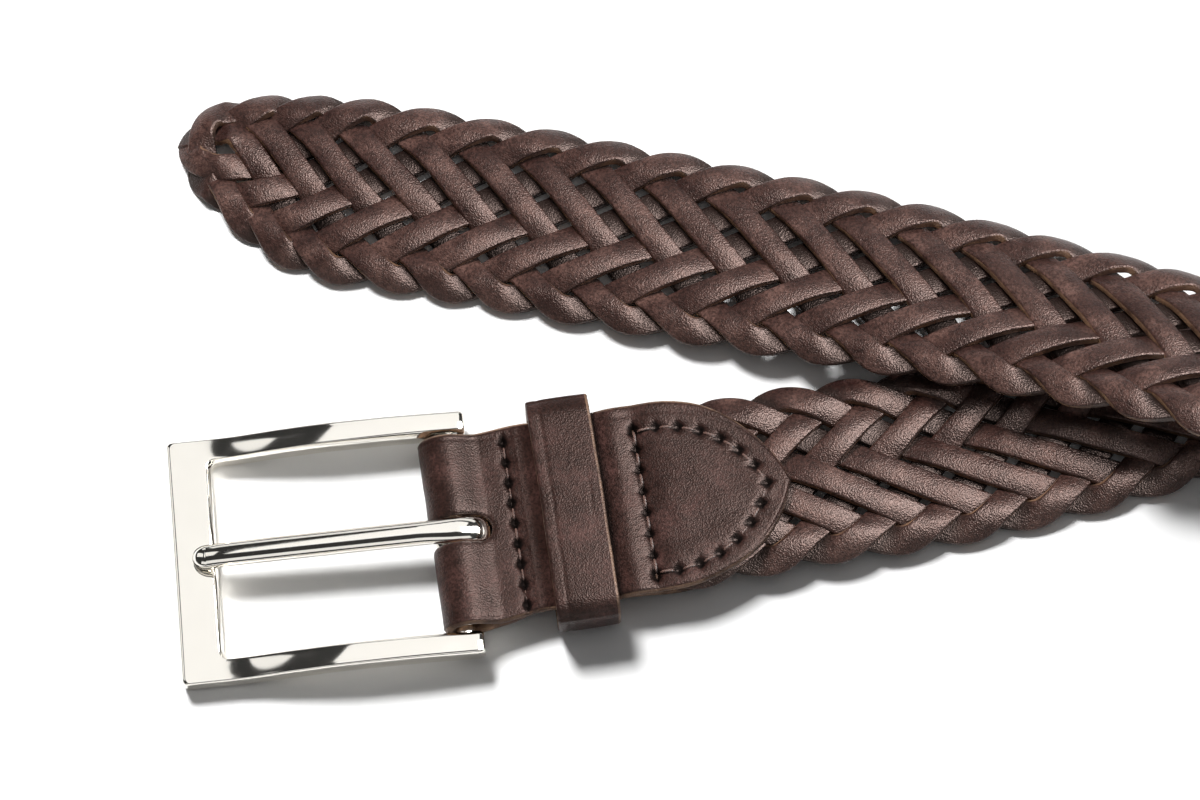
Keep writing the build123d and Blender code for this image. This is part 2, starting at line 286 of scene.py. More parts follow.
def colour_ramp(tree, source, stops):
    """A colour ramp through (place, hex colour) stops."""
    node = tree.nodes.new("ShaderNodeValToRGB")
    tree.links.new(source, node.inputs[0])
    ramp = node.color_ramp
    while len(ramp.elements) < len(stops):
        ramp.elements.new(0.5)
    for element, (place, code) in zip(ramp.elements, stops):
        element.position = place
        element.color = linear(code)
    return node.outputs[0]


def mix_colour(tree, factor, low, high, blend="MIX"):
    """Blends two colours, each a socket or a hex code, by a socket or a number."""
    node = add_node(tree, "Mix", {"data_type": "RGBA", "blend_type": blend})
    for key, value in ((0, factor), (6, low), (7, high)):
        if isinstance(value, str):
            node.inputs[key].default_value = linear(value)
        elif isinstance(value, (int, float)):
            node.inputs[key].default_value = value
        else:
            tree.links.new(value, node.inputs[key])
    return node.outputs[2]


def new_material(name):
    """An empty material and its Principled shader."""
    material = bpy.data.materials.new(name)
    material.use_nodes = True
    tree = material.node_tree
    shader = next(n for n in tree.nodes if n.type == "BSDF_PRINCIPLED")
    return material, tree, shader


def dyed_leather(name, dark, mid, light, edge, rough, shine, grain_depth):
    """Vegetable-tanned leather, drum-dyed dark brown and waxed. Pores and fine creases break up a warm,
    silky highlight, the dye is mottled, and cut edges and the flesh side are paler. Scales are parts to
    the metre: 170 is 6 mm apart, 300 is 3.3 mm, 1500 is 0.7 mm, 1900 is 0.5 mm and 3600 is 0.3 mm."""
    material, tree, shader = new_material(name)
    place = add_node(tree, "TexCoord").outputs["Object"]
    kind, hole_shade, under_shade = (add_node(tree, "Attribute", {"attribute_name": mark}).outputs["Fac"]
                       for mark in ("kind", "hole_shade", "under_shade"))
    mottle = add_node(tree, "TexNoise", {"Scale": 170.0, "Detail": 5.0, "Roughness": 0.6},
                      {"Vector": place}).outputs[0]
    speckle = add_node(tree, "TexNoise", {"Scale": 1900.0, "Detail": 2.0, "Roughness": 0.6},
                       {"Vector": place}).outputs[0]
    base = colour_ramp(tree, mottle, [(0.34, dark), (0.52, mid), (0.68, light)])
    fine = colour_ramp(tree, speckle, [(0.38, "6e6262"), (0.6, "ffffff")])
    base = mix_colour(tree, 0.8, base, fine, "MULTIPLY")
    # Paler cut edge, patchy where dye has reached it
    patchy = add_node(tree, "TexNoise", {"Scale": 300.0, "Detail": 4.0}, {"Vector": place}).outputs[0]
    at_edge = add_node(tree, "MapRange", {"interpolation_type": "SMOOTHSTEP", 1: 0.6, 2: 1.0},
                       {0: kind}).outputs[0]
    some = add_node(tree, "MapRange", {1: 0.38, 2: 0.62, 3: 0.25, 4: 1.0}, {0: patchy}).outputs[0]
    edge_part = add_node(tree, "Math", {"operation": "MULTIPLY"}, {0: at_edge, 1: some}).outputs[0]
    base = mix_colour(tree, edge_part, base, edge)
    at_flesh = add_node(tree, "MapRange", {1: 1.2, 2: 1.7}, {0: kind}).outputs[0]
    base = mix_colour(tree, at_flesh, base, "4a3629")
    # Painted shade: a lace is darkened where it lies low under the laces that cross it, and a needle
    # hole is painted black for the shade inside it
    base = mix_colour(tree, under_shade, base, "120c0a")
    base = mix_colour(tree, hole_shade, base, "030202")
    tree.links.new(base, shader.inputs["Base Color"])
    # Grain: pores, and creases just under a millimetre long between them
    pores = add_node(tree, "TexVoronoi", {"feature": "SMOOTH_F1", "Scale": 3600.0, "Smoothness": 0.6},
                     {"Vector": place}).outputs[0]
    creases = add_node(tree, "TexNoise", {"Scale": 1500.0, "Detail": 3.0, "Roughness": 0.6,
                                          "Distortion": 0.8}, {"Vector": place}).outputs[0]
    shallow = add_node(tree, "Math", {"operation": "MULTIPLY", 1: 0.7}, {0: creases}).outputs[0]
    height = add_node(tree, "Math", {"operation": "ADD"}, {0: pores, 1: shallow}).outputs[0]
    relief = add_node(tree, "Bump", {"Strength": 0.9, "Distance": grain_depth}, {"Height": height})
    tree.links.new(relief.outputs[0], shader.inputs["Normal"])
    rough_all = add_node(tree, "MapRange", {1: 0.3, 2: 0.7, 3: rough - 0.05, 4: rough + 0.07},
                         {0: mottle}).outputs[0]
    tree.links.new(rough_all, shader.inputs["Roughness"])
    shader.inputs["IOR"].default_value = 1.5
    shader.inputs["Specular IOR Level"].default_value = shine
    shader.inputs["Specular Tint"].default_value = linear("efd2c8")
    return material


def polished_nickel():
    """Zinc casting, nickel plated and buffed to a mirror: warm white, with a haze that comes and goes
    over some 4 mm."""
    material, tree, shader = new_material("polished nickel plate")
    place = add_node(tree, "TexCoord").outputs["Object"]
    haze = add_node(tree, "TexNoise", {"Scale": 260.0, "Detail": 4.0}, {"Vector": place}).outputs[0]
    rough = add_node(tree, "MapRange", {1: 0.3, 2: 0.7, 3: 0.07, 4: 0.11}, {0: haze}).outputs[0]
    tree.links.new(rough, shader.inputs["Roughness"])
    shader.inputs["Base Color"].default_value = linear("efebe3")
    shader.inputs["Metallic"].default_value = 1.0
    return material


def waxed_thread():
    """Bonded polyester thread, 0.5 mm thick, waxed: two plies twisted, a dull rose brown."""
    material, tree, shader = new_material("waxed polyester thread")
    uv = add_node(tree, "TexCoord").outputs["UV"]
    plies = add_node(tree, "TexWave", {"Scale": 3.0, "Distortion": 0.4, "wave_type": "BANDS",
                                       "bands_direction": "DIAGONAL"}, {"Vector": uv}).outputs[0]
    base = colour_ramp(tree, plies, [(0.1, "3a2723"), (0.7, "7d6056")])
    tree.links.new(base, shader.inputs["Base Color"])
    relief = add_node(tree, "Bump", {"Strength": 0.5, "Distance": 0.0001}, {"Height": plies})
    tree.links.new(relief.outputs[0], shader.inputs["Normal"])
    shader.inputs["Roughness"].default_value = 0.5
    return material


# The laces are waxed and rubbed shinier than the chape
LACE_LEATHER = dyed_leather("dyed lace leather", dark="2e1b18", mid="432d28", light="60463f",
                            edge="86674f", rough=0.37, shine=0.55, grain_depth=0.0001)
CHAPE_LEATHER = dyed_leather("dyed chape leather", dark="24130f", mid="35221e", light="4a312d",
                             edge="7d6350", rough=0.41, shine=0.34, grain_depth=0.00008)
NICKEL = polished_nickel()
THREAD = waxed_thread()


# ---- Braid ----
ZIGZAG_SHARP = 0.968
LACE_ANGLE = math.atan(2 * TURN_U / (BRAID_PERIOD / 2))
PATH_STEP = 0.08
EVEN_STEP = 0.1
ROW_STEP = 0.62
END_CUT = 0.9
# Near the tip the edge loops are numbered back from it, and each curve's knots are (number, value):
# distance from the tip, share of the full half width, drift across, and lead of the left edge
TIP_PLACE = STRAP_LENGTH + 2.4
TIP_LOOP = BRAID_PHASE + 90 * EDGE_PITCH
TIP_LOOPS = 12
TIP_REACH = 140.0
EASE_FROM = 300.0
TIP_DISTANCE = [(-1, 2.4), (0, 8.0), (1, 15.6), (2, 24.4), (3, 34.0), (4, 46.0), (5, 57.6), (6, 69.2),
                (8, 92.8), (TIP_LOOPS, TIP_REACH)]
TIP_SHARE = [(-1, 0.2), (0, 0.45), (1, 0.74), (2, 0.92), (3, 1.0), (TIP_LOOPS, 1.0)]
TIP_DRIFT = [(-1, -2.4), (0, -2.4), (1, -1.2), (2, 0.1), (3, 0.3), (4, -0.2), (6, -0.5),
             (TIP_LOOPS, -0.5)]
TIP_LEAD = [(-1, 0.0), (3, 0.0), (4, 0.8), (5, 2.6), (6, 3.8), (7, 4.2), (TIP_LOOPS, 4.2)]
# Where each lace leaves the plain weave, and the places (from the tip, across, height) on to its end
# and one past it. Laces 8 and 4 meet round the very tip, 3 and 7 meet just inside it, and the others'
# ends are tucked under.
TIP_ENDS = {
    7: (0.0, [(5.9, 1.2, 0.95), (3.6, 0.3, 0.4), (2.5, -2.2, -0.4), (2.75, -3.5, -0.62),
              (3.6, -4.9, -0.9)]),
    3: (0.3, [(8.2, -5.9, 0.4), (5.9, -6.0, -0.6), (3.6, -4.9, -0.9), (2.5, -2.2, -0.4),
              (2.75, -0.9, -0.03), (3.6, 0.3, 0.4)]),
    2: (0.0, [(5.6, -8.6, 0.75), (4.4, -6.6, 1.15), (4.2, -4.2, 1.1), (4.8, -1.9, 0.4), (5.2, 0.0, -0.7),
              (5.5, 2.3, -1.1)]),
    6: (0.0, [(6.3, 4.3, -0.6), (5.5, 2.3, -1.1), (5.2, 0.0, -0.7), (4.8, -1.9, 0.4)]),
    1: (0.1, []), 5: (0.1, []), 8: (1.0, []), 4: (1.0, [])}


def zigzag(sigma, k):
    """How far across lace k is: a triangle wave between the edges with rounded turns, the arcsine of a
    slightly shortened cosine."""
    phase = (sigma - BRAID_PHASE - k * EDGE_PITCH) / BRAID_PERIOD
    return TURN_U * np.arcsin(-ZIGZAG_SHARP * np.cos(2 * math.pi * phase)) / math.asin(ZIGZAG_SHARP)


def weave_height(place):
    """Height at a place of the zigzag: the cubic through the crossings' heights that takes its slopes
    from their neighbours, so a lace arches over the pair it crosses."""
    before = np.floor(place).astype(int)
    t = place - before
    a, b, c, d = (WEAVE[(before + i) % 16] for i in (-1, 0, 1, 2))
    rise = c - a + t * (2 * a - 5 * b + 4 * c - d + t * (3 * (b - c) + d - a))
    return LACE_RISE * (b + 0.5 * t * rise)


def lay_braid(sigma, v):
    """The plain braid's place (sigma, v) on the strap: nearly itself along most of it, and drawn in to a
    round tip over the last loops by the four tip curves."""
    number = (TIP_LOOP - sigma) / EDGE_PITCH - 1
    near = np.clip(number, -1, TIP_LOOPS)
    tip_s = TIP_PLACE - through(TIP_DISTANCE, near)
    meet = TIP_LOOP - (TIP_LOOPS + 1) * EDGE_PITCH
    eased = smooth(sigma, EASE_FROM, meet)
    slip = meet - (TIP_PLACE - TIP_REACH)
    plain_s = sigma - slip * np.clip((sigma - EASE_FROM) / (meet - EASE_FROM), 0, 1)
    s = np.where(number < TIP_LOOPS, tip_s, plain_s)
    left = (v / TURN_U + 1) / 2
    s = s + through(TIP_LEAD, near) * eased * left
    # By the chape the braid is drawn narrower, and its left edge lags its right
    tight = 1 - smooth(sigma, 200, 330)
    s = s + tight * smooth(sigma, 36, 52) * (1.4 - 5.4 * left)
    u = v * through(TIP_SHARE, near) * (1 - 0.1 * tight) + through(TIP_DRIFT, near) * eased
    return s, u + tight * (0.6 + smooth(sigma, 40, 64))


def curve_through(points, count):
    """A centripetal Catmull-Rom curve through the points but the first and the last, count places to
    each span."""
    gaps = np.sqrt(np.linalg.norm(np.diff(points[:, :2], axis=0), axis=1))
    knots = np.concatenate([[0], np.cumsum(gaps)])
    pieces = []
    for i in range(1, len(points) - 2):
        t = np.linspace(knots[i], knots[i + 1], count, endpoint=False)[:, None]
        p, k = points[i - 1:i + 3], knots[i - 1:i + 3]
        a = [(p[j] * (k[j + 1] - t) + p[j + 1] * (t - k[j])) / (k[j + 1] - k[j]) for j in range(3)]
        b = [(a[j] * (k[j + 2] - t) + a[j + 1] * (t - k[j])) / (k[j + 2] - k[j]) for j in range(2)]
        pieces.append((b[0] * (k[2] - t) + b[1] * (t - k[1])) / (k[2] - k[1]))
    return np.concatenate(pieces + [points[-2:-1]])


def lace_path(k):
    """Lace k's middle: s along and u across, its place in the weave, its own height near the tip, and
    how far that height takes over from the weave's."""
    number, tail = TIP_ENDS[k + 1]
    sigma = np.arange(BRAID_START, TIP_LOOP - (number + 1) * EDGE_PITCH, PATH_STEP)
    v = zigzag(sigma, k)
    v = v + wander(sigma, 0.16, 31.0, 50 + k) * (1 - smooth(np.abs(v), 12, 15))
    s, u = lay_braid(sigma, v)
    place = (sigma - BRAID_PHASE - k * EDGE_PITCH) / (EDGE_PITCH / 2)
    own = np.zeros_like(s)
    share = np.zeros_like(s)
    if tail:
        start_height = weave_height(place[-1:])[0]
        lead = [(s[-30], u[-30], start_height), (s[-1], u[-1], start_height)]
        route = np.array(lead + [(TIP_PLACE - d, across, h) for d, across, h in tail])
        curve = curve_through(route, 40)[1:]
        s, u = np.concatenate([s, curve[:, 0]]), np.concatenate([u, curve[:, 1]])
        place = np.concatenate([place, np.full(len(curve), place[-1])])
        own = np.concatenate([own, curve[:, 2]])
        share = np.concatenate([share, np.ones(len(curve))])
    return s, u, place, own, share


def evened(values, count):
    """The running mean of values over count places, an odd number."""
    return np.convolve(np.pad(values, count // 2, mode="edge"), np.ones(count) / count, mode="valid")


def skived(s):
    """How thick the laces are: pared to two thirds where the chape holds them."""
    return 0.68 + 0.32 * np.clip((s - 40.0) / 26.0, 0, 1)


def braid_lace(k):
    """Lace k: a crowned band carried along its woven path. The band rolls outwards where the path
    turns, and each side of it climbs and dips in step with the laces that cross it."""
    s, u, place, own, share = lace_path(k)
    length = np.concatenate([[0], np.cumsum(np.hypot(np.diff(s), np.diff(u)))])
    even = np.arange(0, length[-1], EVEN_STEP)
    s_even, u_even = np.interp(even, length, s), np.interp(even, length, u)
    # Near the tip the path is evened out over 3 mm
    near_tip = smooth(s_even, STRAP_LENGTH - 16, STRAP_LENGTH - 11)
    padded = (np.pad(v, 15, mode="reflect", reflect_type="odd") for v in (s_even, u_even))
    soft_s, soft_u = (np.convolve(v, np.ones(31) / 31, mode="valid") for v in padded)
    s_even, u_even = s_even + near_tip * (soft_s - s_even), u_even + near_tip * (soft_u - u_even)
    angle = np.unwrap(np.arctan2(evened(np.gradient(u_even), 9), evened(np.gradient(s_even), 9)))
    curve = evened(np.gradient(angle, EVEN_STEP), 21)
    last = length[-1] - END_CUT * share[-1]
    steps = np.append(np.arange(0, last, ROW_STEP), last)
    place, own, share = (np.interp(steps, length, values) for values in (place, own, share))
    s, u, angle, curve = (np.interp(steps, even, values) for values in (s_even, u_even, angle, curve))
    roll = EDGE_ROLL * np.tanh(curve / 0.15) + np.radians(wander(steps, 3.0, 17.0, 70 + k))
    across, height, kind = rounded_section(LACE_WIDTH / 2, LACE_THICK / 2, 0.5, 0.3, LACE_CROWN)
    thin = skived(s)[:, None]
    # A lace draws in where it rides over and spreads where it is pressed under
    centre = weave_height(place) * (1 - share) + own * share
    width = 1 - 0.06 * centre + wander(steps, 0.025, 23.0, 90 + k)
    d = across[None, :] * width[:, None]
    normal_s, normal_u = -np.sin(angle)[:, None], np.cos(angle)[:, None]
    lean = np.clip(np.sin(angle) / math.sin(LACE_ANGLE), -1.2, 1.2)[:, None]
    shift = 0.062 * d * lean
    share = share[:, None]
    middle = weave_height(place[:, None] + shift) * (1 - share) + own[:, None] * share
    cos_r, sin_r = np.cos(roll)[:, None], np.sin(roll)[:, None]
    lateral = d * cos_r - height[None, :] * sin_r
    w = middle + d * sin_r + height[None, :] * cos_r
    points, faces = closed_tube(strap_points(s[:, None] + lateral * normal_s,
                                             u[:, None] + lateral * normal_u, w * thin))
    around = np.concatenate([[0], np.cumsum(np.hypot(np.diff(across), np.diff(height)))])
    uv = np.stack(np.broadcast_arrays(steps[:, None], around[None, :]), -1).reshape(-1, 2)
    uv = np.concatenate([uv, uv[[0, -1]]])
    # Painted shade: darkest where the lace runs lowest under its crossings, and on its end caps
    under_shade = 0.9 * (1 - smooth(middle / LACE_RISE, -0.75, 0.0))
    marks = {"kind": np.concatenate([np.broadcast_to(kind, w.shape).ravel(), [0.0, 0.0]]),
             "under_shade": np.concatenate([under_shade.ravel(), [1.0, 1.0]])}
    add_piece(f"plaited_lace_{k + 1}", points, faces, "strap", f"lace_{k + 1}",
              LACE_LEATHER, uv=uv, marks=marks)


for number in range(LACES):
    braid_lace(number)


# ---- Chape ----
def arch_circle(inset):
    """The arch's two equal arcs, each tangent to a strap edge: the radius, and the centre's u."""
    half = STRAP_WIDTH / 2
    radius = ((ARCH_TIP - ARCH_START) ** 2 + half ** 2) / (2 * half)
    return radius - inset, half - radius


def half_width(s):
    """Half the chape's width at s: full, then drawn in along the arch's arc."""
    radius, centre_u = arch_circle(0)
    run = np.clip(s - ARCH_START, 0, ARCH_TIP - ARCH_START)
    straight = STRAP_WIDTH / 2 + 0.2 * (1 - smooth(s, 4, 14))
    return np.maximum(np.where(s <= ARCH_START, straight, centre_u + np.sqrt(radius ** 2 - run ** 2)), 0)


def slot_half(s):
    """Half the prong slot's width at s, with a half-round end."""
    into = np.clip(s - (SLOT_END - SLOT_HALF), 0, SLOT_HALF)
    return np.sqrt(np.maximum(SLOT_HALF ** 2 - into ** 2, 0))


def seam_places():
    """The needle holes of both seams as (s, u), each seam a list in sewing order."""
    count = round(2 * FOLD_SEAM_HALF / STITCH_PITCH)
    fold = [(FOLD_SEAM_S, -FOLD_SEAM_HALF + n * 2 * FOLD_SEAM_HALF / count) for n in range(count + 1)]
    inner, centre_u = arch_circle(PATCH_SEAM_INSET)
    top = math.acos((PATCH_SEAM_S - ARCH_START) / inner)
    tip = math.asin(-centre_u / inner)
    count = round(2 * PATCH_SEAM_HALF / STITCH_PITCH)
    side = [(PATCH_SEAM_S, PATCH_SEAM_HALF - n * 2 * PATCH_SEAM_HALF / count) for n in range(count + 1)]
    count = round((top - tip) * inner / STITCH_PITCH)
    arc = [tip + (top - tip) * n / count for n in range(count + 1)]
    upper = [(ARCH_START + inner * math.cos(a), centre_u + inner * math.sin(a)) for a in arc]
    lower = [(s, -u) for s, u in upper[1:]]
    return fold, side, upper[::-1] + lower


FOLD_HOLES, SIDE_HOLES, ARCH_HOLES = seam_places()
# Each needle hole is a diamond, this long along the strap and across it
HOLE_SIZES = [(FOLD_HOLES, 1.05, 1.7), (SIDE_HOLES, 1.1, 1.35), (ARCH_HOLES, 1.35, 1.25)]


def widening(s):
    """The pocket's way from where it is full (0) to its mouth under the arch's tip (1)."""
    return np.clip((s - POCKET_FULL) / (ARCH_TIP + 1 - POCKET_FULL), 0, 1)


def outer_height(s, face=1):
    """The plain height of the grain side above the chape's middle. The front (face 1) rises towards the
    braid sooner than the back (-1)."""
    fold = LEATHER + TUNNEL_R * (1 - smooth(s, 0.2, FOLD_END))
    sooner = FRONT_RISE if face > 0 else 0.0
    pocket = POCKET_IN * smooth(s, POCKET_START - sooner, POCKET_FULL + 1.5 - sooner)
    return fold + pocket + (POCKET_OUT - 0.3 - POCKET_IN) * widening(s)


def inner_height(s, face=1):
    """The height of the flesh side: the tunnel, closed leather, then the pocket."""
    tunnel = TUNNEL_R * (1 - smooth(s, 0.0, FOLD_END - 0.5))
    sooner = FRONT_RISE if face > 0 else 0.0
    pocket = POCKET_IN * smooth(s, POCKET_START + 1.0 - sooner, POCKET_FULL + 2.0 - sooner)
    return tunnel + pocket + (POCKET_OUT - POCKET_IN) * widening(s)


def distance_to_line(s, u, places):
    """The least distance from each (s, u) to the line through the places."""
    best = np.full(np.shape(s), 1e9)
    for (s0, u0), (s1, u1) in zip(places, places[1:]):
        length2 = (s1 - s0) ** 2 + (u1 - u0) ** 2
        t = np.clip(((s - s0) * (s1 - s0) + (u - u0) * (u1 - u0)) / length2, 0, 1)
        best = np.minimum(best, np.hypot(s - s0 - t * (s1 - s0), u - u0 - t * (u1 - u0)))
    return best


def grain_relief(s, u, front):
    """How far the grain side stands off its plain height, and the painted shade of its needle holes,
    which are only dents painted black:
    sewn grooves, dents at the holes, soft ridges across the fold, a rounded slot rim and pressed edges."""
    relief, hole_shade = np.zeros(np.shape(s)), np.zeros(np.shape(s))
    for places, long_s, long_u in HOLE_SIZES:
        relief -= 0.14 * bump(distance_to_line(s, u, places), 0, 0.9)
        for hole_s, hole_u in places:
            away = np.abs(s - hole_s) / long_s + np.abs(u - hole_u) / long_u
            relief -= 0.9 * bump(away, 0, 0.8)
            # Painted shade: each hole's dent is marked to be painted black
            hole_shade = np.maximum(hole_shade, 1 - smooth(away, 0.8, 1.08))
    relief += 0.12 * bump(s, FOLD_SEAM_S + 2.2, 0.4) * front
    relief -= 0.5 * bump(s, PATCH_SEAM_S, 2.4)
    round_s = SLOT_END - SLOT_HALF
    into = np.where(s > round_s, np.hypot(s - round_s, u), np.abs(u)) - SLOT_HALF
    relief -= 0.45 * np.exp(-np.maximum(into, 0) / 0.35) * (s < SLOT_END + 3)
    margin = half_width(s) - np.abs(u)
    relief -= 0.10 * bump(margin, 1.25, 0.35) * front
    # The front lies down over the braid beyond the seam, and swells a little inside it
    relief += 0.22 * smooth(margin, 3.5, 9.0) * smooth(s, PATCH_SEAM_S + 1, PATCH_SEAM_S + 7)
    relief += wander(s + 0.4 * u, 0.06, 9.0, 7) + wander(u - 0.3 * s, 0.07, 12.0, 8)
    return relief, hole_shade


EDGE_ROUND = 0.75
GRAIN_COLUMNS = 58
FLESH_COLUMNS = 14


def chape_stations():
    """The strip's edge view from its front tip, round the bar in half circles, to its back tip. Returns
    s and w of the grain side, s and w of the flesh side, how much each station belongs to the front,
    and 1 on the front, 0 on the fold and -1 on the back."""
    near_slot = SLOT_END - SLOT_HALF * (1 - np.cos(np.linspace(0, math.pi / 2, 9)))
    front = np.unique(np.concatenate([np.arange(0, ARCH_TIP, 0.3), near_slot, [ARCH_TIP - 0.02]]))[::-1]
    back = front[::-1]
    turn = np.linspace(math.pi / 2, 3 * math.pi / 2, 42)[1:-1]
    outer_r = TUNNEL_R + LEATHER
    s_out = np.concatenate([front, outer_r * np.cos(turn), back])
    w_out = np.concatenate([outer_height(front), outer_r * np.sin(turn), -outer_height(back, -1)])
    s_in = np.concatenate([front, TUNNEL_R * np.cos(turn), back])
    w_in = np.concatenate([inner_height(front), TUNNEL_R * np.sin(turn), -inner_height(back, -1)])
    front_side = np.concatenate([np.ones(len(front)), (1 + np.sin(turn)) / 2, np.zeros(len(back))])
    side = np.concatenate([np.ones(len(front)), np.zeros(len(turn)), -np.ones(len(back))])
    return s_out, w_out, s_in, w_in, front_side, side


def chape():
    """The folded strip: at each station along its edge view a closed section runs across the grain
    side, over a rounded edge and back across the flesh side, in two halves that part at the slot."""
    s_out, w_out, s_in, w_in, front_side, side = chape_stations()
    rows = len(s_out)
    fold = side == 0
    slot = np.where(fold, SLOT_HALF, slot_half(np.maximum(s_out, 0)))
    slot[(~fold) & (s_out >= SLOT_END - 1e-9)] = 0
    reach = np.where(fold, STRAP_WIDTH / 2 + 0.2, half_width(s_out))
    reach = np.maximum(reach - 0.7 * (side < 0) * smooth(s_out, 6, 14), 0)
    # The outline is cut a little to the left of the slot and the seams
    askew = 0.9 * smooth(s_out, 4, 14) * (1 - smooth(s_out, 45, 58))
    depth_edge = np.linspace(0, 1, 9)[1:-1]
    # One half: u and depth of the grain from the slot outwards, the edge, and the flesh back to the slot
    slot_u, edge_start = slot[:, None], np.maximum(reach - EDGE_ROUND, 0.01)[:, None]
    grain_u = slot_u + (edge_start - slot_u) * np.linspace(0, 1, GRAIN_COLUMNS)[None, :]
    bulge = np.sin(math.pi * depth_edge)[None, :] ** 0.6
    edge_u = edge_start + np.minimum(EDGE_ROUND, reach[:, None]) * bulge
    flesh_u = slot_u + (edge_start - slot_u) * np.linspace(1, 0, FLESH_COLUMNS)[None, :]
    half_u = np.concatenate([grain_u, edge_u, flesh_u], axis=1)
    depth = np.concatenate([np.zeros(GRAIN_COLUMNS), depth_edge, np.ones(FLESH_COLUMNS)])
    kind = np.concatenate([np.zeros(GRAIN_COLUMNS - 1), [0.35], np.ones(len(depth_edge)),
                           [1.3], np.full(FLESH_COLUMNS - 1, 2.0)])
    count = half_u.shape[1]
    normal_s = np.where(fold, s_out / (TUNNEL_R + LEATHER), 0)[:, None]
    normal_w = np.where(fold, w_out / (TUNNEL_R + LEATHER), side)[:, None]
    points, faces, kinds, hole_shades = [], [], [], []
    for hand in (1, -1):
        u = hand * half_u + askew[:, None] * half_u / np.maximum(reach, 0.5)[:, None]
        s = s_out[:, None] + (s_in - s_out)[:, None] * depth[None, :]
        w = w_out[:, None] + (w_in - w_out)[:, None] * depth[None, :]
        relief, hole_shade = grain_relief(np.broadcast_to(s_out[:, None], u.shape), u, front_side[:, None])
        relief = relief * (1 - depth)[None, :] ** 2
        hole_shade = hole_shade * (depth == 0)[None, :] * (side != 0)[:, None]
        points.append(chape_points(s + relief * normal_s, u, w + relief * normal_w).reshape(-1, 3))
        start = 0 if hand == 1 else rows * count
        strip = grid_faces(rows, count, closed_columns=False, start=start)
        firsts = [start + i * count for i in range(rows - 1) if slot[i] > 0 or slot[i + 1] > 0]
        walls = [[at + count - 1, at, at + count, at + 2 * count - 1] for at in firsts]
        ends = [[start + i * count + j for j in range(count)] for i in (0, rows - 1)]
        faces += strip.tolist() + walls + ends
        kinds.append(np.broadcast_to(kind, u.shape).ravel())
        hole_shades.append(hole_shade.ravel())
    marks = {"kind": np.concatenate(kinds), "hole_shade": np.concatenate(hole_shades)}
    add_piece("folded_chape", np.concatenate(points), faces, "strap", "chape",
              CHAPE_LEATHER, marks=marks, sharp=55, merge=True)


chape()


# ---- Stitching ----
THREAD_R = 0.25
STITCH_INSET = 0.17
STITCH_DIP = 0.7
KEEPER_THREAD_R = 0.34
KEEPER_STITCH_HALF = 2.2


def capsule(start, end, lift_start, lift_end, radius, rows=13, columns=10):
    """A stitch: a flattened round section carried from hole to hole, dipping and thinner where it
    enters them. Returns s, u and w of its grid, and uv along and around it."""
    t = np.linspace(0, 1, rows)
    around = np.linspace(0, 2 * math.pi, columns, endpoint=False)
    middle = start[None, :] + (end - start)[None, :] * t[:, None]
    thick = radius * (0.55 + 0.45 * np.sin(math.pi * t) ** 0.5)
    rise = -STITCH_DIP * np.abs(2 * t - 1) ** 4
    direction = (end - start) / np.linalg.norm(end - start)
    sideways = np.array([-direction[1], direction[0]])
    s = middle[:, 0:1] + sideways[0] * thick[:, None] * np.cos(around)[None, :]
    u = middle[:, 1:2] + sideways[1] * thick[:, None] * np.cos(around)[None, :]
    base = lift_start + (lift_end - lift_start) * t
    w = (base + rise)[:, None] + thick[:, None] * np.sin(around)[None, :] * 0.8
    uv = np.stack(np.broadcast_arrays(t[:, None], around[None, :] / (2 * math.pi)), -1)
    return s, u, w, uv


def add_stitches(name, stitches, body, node):
    """Makes one piece of many stitches, each given as its grid of points and their uv."""
    points, faces, uvs, start = [], [], [], 0
    for grid, uv in stitches:
        rows, columns = grid.shape[:2]
        points.append(grid.reshape(-1, 3))
        faces += grid_faces(rows, columns, start=start).tolist()
        faces += [[start + row * columns + j for j in range(columns)] for row in (0, rows - 1)]
        uvs.append(uv.reshape(-1, 2))
        start += rows * columns
    add_piece(name, np.concatenate(points), faces, body, node, THREAD, uv=np.concatenate(uvs))


def seam(name, runs, node, sunk):
    """Every stitch of a seam, front and back of the chape, sunk this far below the grain side."""
    stitches = []
    for places in runs:
        for a, b in zip(np.array(places), np.array(places)[1:]):
            inset = (b - a) * STITCH_INSET
            for face in (1, -1):
                lift = [outer_height(np.array([p[0]]), face)[0] - sunk for p in (a, b)]
                s, u, w, uv = capsule(a + inset, b - inset, lift[0], lift[1], THREAD_R)
                stitches.append((chape_points(s, u, face * w), uv))
    add_stitches(name, stitches, "strap", node)


seam("fold_seam_thread", [FOLD_HOLES], "fold_stitches", 0.5)
seam("patch_seam_thread", [SIDE_HOLES, ARCH_HOLES], "patch_stitches", 0.12)


